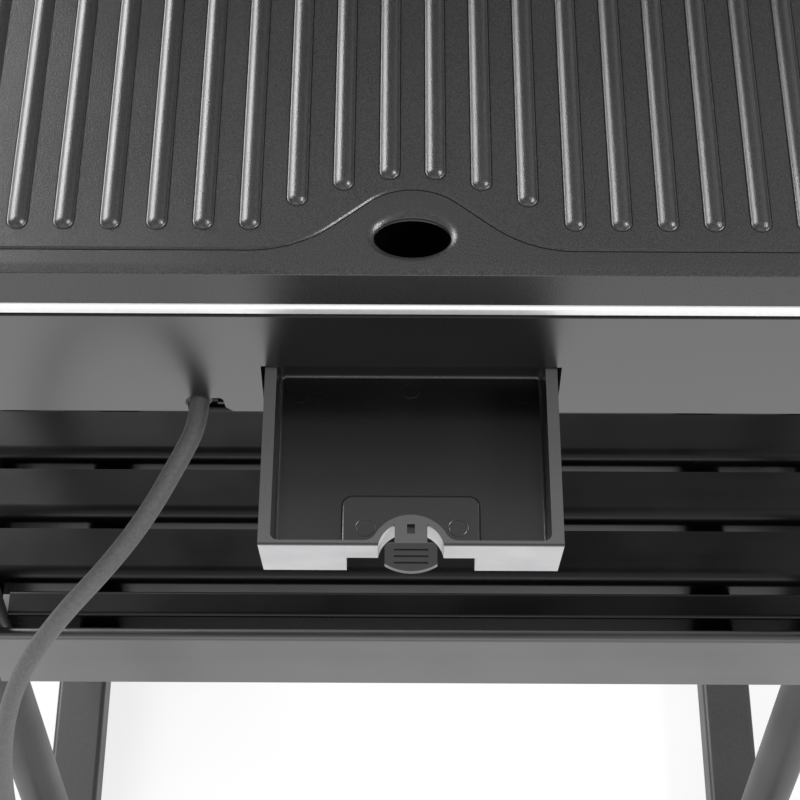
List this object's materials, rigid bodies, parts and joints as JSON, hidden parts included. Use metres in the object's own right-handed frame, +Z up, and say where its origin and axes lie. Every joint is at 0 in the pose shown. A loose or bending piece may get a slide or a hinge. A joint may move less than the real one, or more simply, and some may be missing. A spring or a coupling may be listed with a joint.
{
  "type": "electric barbecue grill",
  "caption": "Electric grill on a tubular stand: ribbed plate with drain, pull-out drip tray, hinged lid, turning thermostat knob, slatted lower shelf and mains lead with plug.",
  "frame": {"origin": "on the floor, below the middle of the whole grill with its drip tray pulled out and its lid open, the cord left out", "axes": "+Z up, +X to the right of someone facing the drip tray, -Y from the grill towards that person"},
  "size_m": [0.548, 0.5676, 1.1688],
  "materials": {
    "housing": "moulded black, polished",
    "trim": "satin silver",
    "coating": "cast, with a dark speckled non-stick coating",
    "heater": "drawn tube, heat-dulled",
    "zinc_steel": "zinc plated",
    "bright_sheet": "bright rolled sheet",
    "black_sheet": "black coated sheet",
    "tray": "moulded black, fine speckled grain",
    "inner_plastic": "moulded dark grey",
    "terminal": "moulded off-white",
    "wires": "heat-proof sleeves",
    "pointer": "light inlay",
    "lamp": "clear red",
    "cord": "dark grey, matt",
    "plug": "moulded black",
    "nickel": "nickel plated",
    "grip": "moulded heat-proof black",
    "hinge_steel": "black coated steel",
    "lid_paint": "black enamel",
    "socket": "moulded black",
    "stand_paint": "black powder coat",
    "pads": "moulded black",
    "stained_wood": "black stained boards"
  },
  "bodies": {
    "stand": {"body_housing": "housing", "bottom_cover": "black_sheet", "bottom_screws": "zinc_steel", "cord_clamp": "inner_plastic", "cord_coil": "cord", "dial_plate": "trim", "drip_chute": "bright_sheet", "element_clamps": "zinc_steel", "floor_pads": "pads", "foot_bar_caps": "socket", "foot_bar_left": "stand_paint", "foot_bar_right": "stand_paint", "grill_plate": "coating", "heat_reflector": "bright_sheet", "heating_element": "heater", "hinge_bracket_left": "hinge_steel", "hinge_bracket_right": "hinge_steel", "hinge_pins": "zinc_steel", "hinge_screws": "zinc_steel", "inner_wires": "wires", "lamp_holder": "inner_plastic", "lamp_lens": "lamp", "leg_front_left": "stand_paint", "leg_front_right": "stand_paint", "leg_rear_left": "stand_paint", "leg_rear_right": "stand_paint", "leg_sockets": "socket", "plug_body": "plug", "plug_contacts": "nickel", "plug_pins": "nickel", "power_cord": "cord", "rear_cross_bar": "stand_paint", "shelf_bearers": "stained_wood", "shelf_front_rail": "stained_wood", "shelf_rear_rail": "stained_wood", "shelf_screws": "zinc_steel", "shelf_side_rails": "stained_wood", "shelf_slats": "stained_wood", "side_handle_left": "grip", "side_handle_right": "grip", "strain_relief": "cord", "terminal_block": "terminal", "thermal_cutout": "zinc_steel", "thermostat": "inner_plastic", "tray_bay": "black_sheet", "trim_frame": "trim"},
    "lid": {"lid_shell": "lid_paint", "lid_handle": "grip", "lid_handle_posts": "nickel", "lid_handle_screws": "zinc_steel", "lid_arms": "hinge_steel", "lid_arm_screws": "zinc_steel"},
    "tray": {"drip_tray": "tray", "tray_fascia": "trim"},
    "knob": {"control_knob": "housing", "knob_pointer": "pointer", "thermostat_shaft": "zinc_steel"}
  },
  "joints": [
    {"name": "lid_hinge", "type": "hinge", "parent": "stand", "child": "lid", "pos_m": [0, 0.15956, 0.7687], "axis": [1, 0, 0], "range_deg": [0, 98]},
    {"name": "tray_slide", "type": "slide", "parent": "stand", "child": "tray", "axis": [0, -1, 0], "range_m": [-0.0644, 0.004]},
    {"name": "knob_turn", "type": "hinge", "parent": "stand", "child": "knob", "pos_m": [0.165, -0.21044, 0.7128], "axis": [0, 1, 0], "range_deg": [0, 270]}
  ]
}
